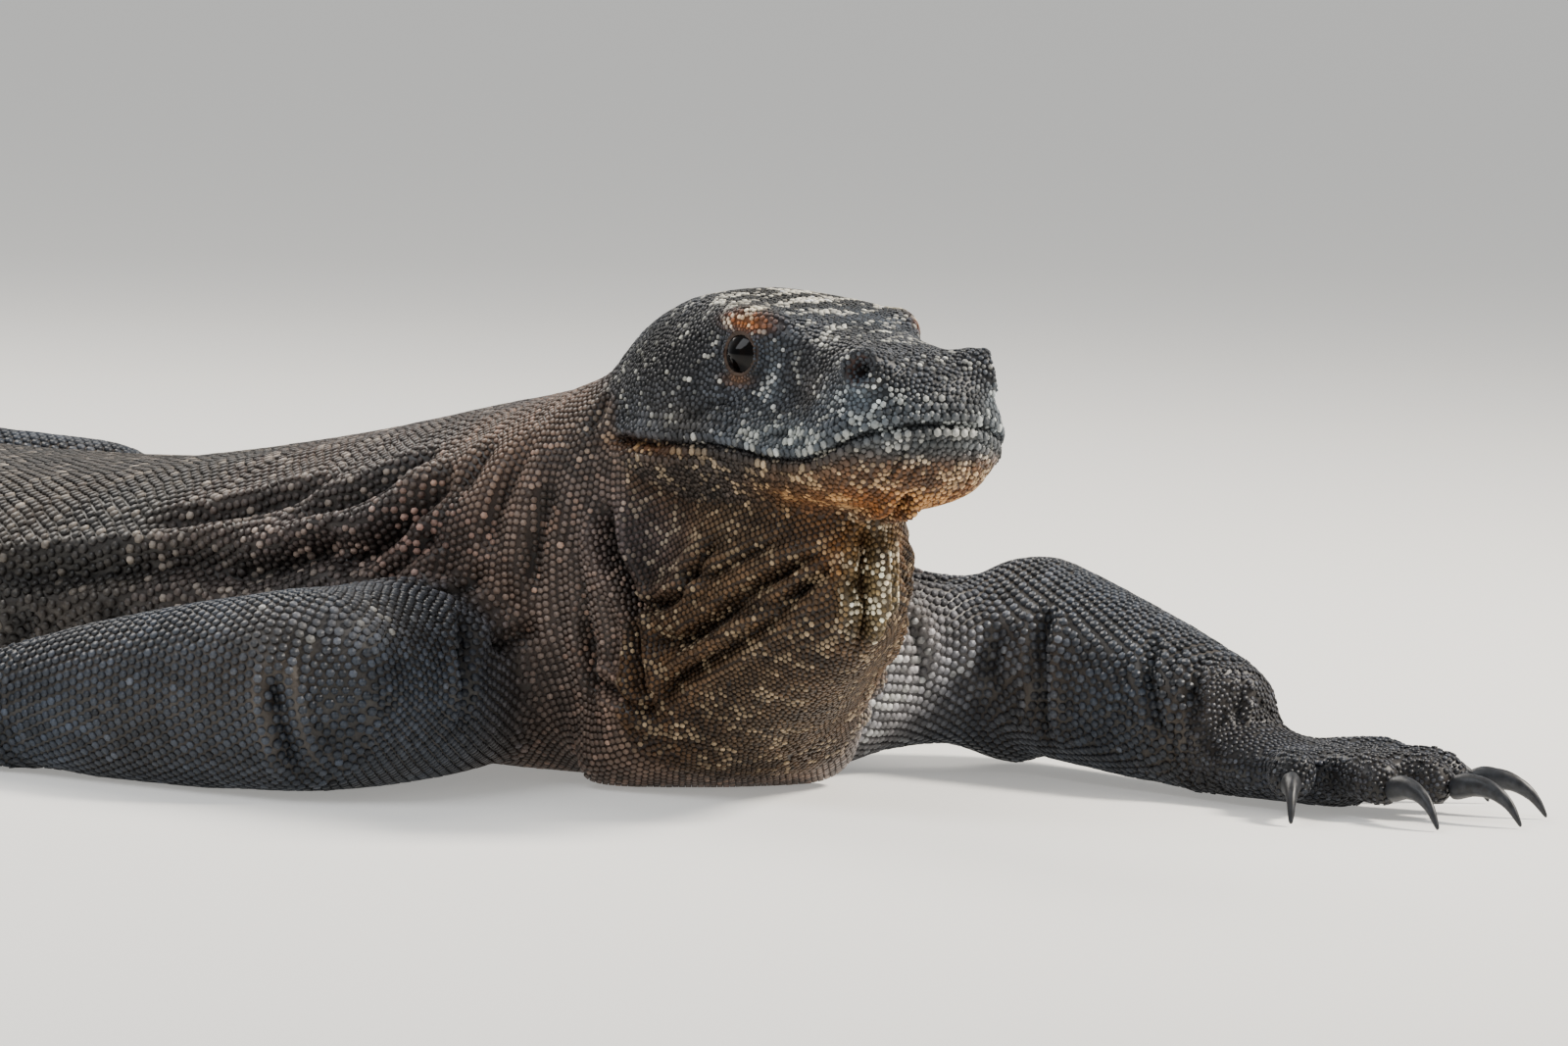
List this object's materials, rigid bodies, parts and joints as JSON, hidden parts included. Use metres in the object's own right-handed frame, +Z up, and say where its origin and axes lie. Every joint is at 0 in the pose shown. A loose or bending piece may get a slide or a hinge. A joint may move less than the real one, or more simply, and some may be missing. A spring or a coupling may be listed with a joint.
{
  "type": "komodo dragon",
  "caption": "Life-size still Komodo dragon resting on chest and belly, head raised and turned, one hand planted in front, tail curved along the floor.",
  "frame": {"origin": "centre of the footprint's bounding box, on the floor under the belly", "axes": "+Z up; the head is towards -Y and the tail towards +Y; the animal's left side is +X"},
  "size_m": [0.962, 2.5076, 0.2462],
  "materials": {
    "skin": "matte scaly hide",
    "throat_skin": "matte folded hide",
    "claw_horn": "satin horn",
    "eye": "wet gloss"
  },
  "bodies": {
    "root": {"head": "skin", "lower_jaw": "skin", "eye_left": "eye", "eye_right": "eye", "throat": "throat_skin", "neck": "skin", "chest": "skin", "trunk": "skin", "loins": "skin", "pelvis": "skin", "tail_base": "skin", "tail_front": "skin", "tail_middle": "skin", "tail_rear": "skin", "tail_end": "skin", "upper_arm_left": "skin", "forearm_left": "skin", "hand_left": "skin", "claw_left_hand_1": "claw_horn", "claw_left_hand_2": "claw_horn", "claw_left_hand_3": "claw_horn", "claw_left_hand_4": "claw_horn", "claw_left_hand_5": "claw_horn", "upper_arm_right": "skin", "forearm_right": "skin", "hand_right": "skin", "claw_right_hand_1": "claw_horn", "claw_right_hand_2": "claw_horn", "claw_right_hand_3": "claw_horn", "claw_right_hand_4": "claw_horn", "claw_right_hand_5": "claw_horn", "thigh_left": "skin", "shank_left": "skin", "foot_left": "skin", "claw_left_foot_1": "claw_horn", "claw_left_foot_2": "claw_horn", "claw_left_foot_3": "claw_horn", "claw_left_foot_4": "claw_horn", "claw_left_foot_5": "claw_horn", "thigh_right": "skin", "shank_right": "skin", "foot_right": "skin", "claw_right_foot_1": "claw_horn", "claw_right_foot_2": "claw_horn", "claw_right_foot_3": "claw_horn", "claw_right_foot_4": "claw_horn", "claw_right_foot_5": "claw_horn"}
  },
  "joints": []
}
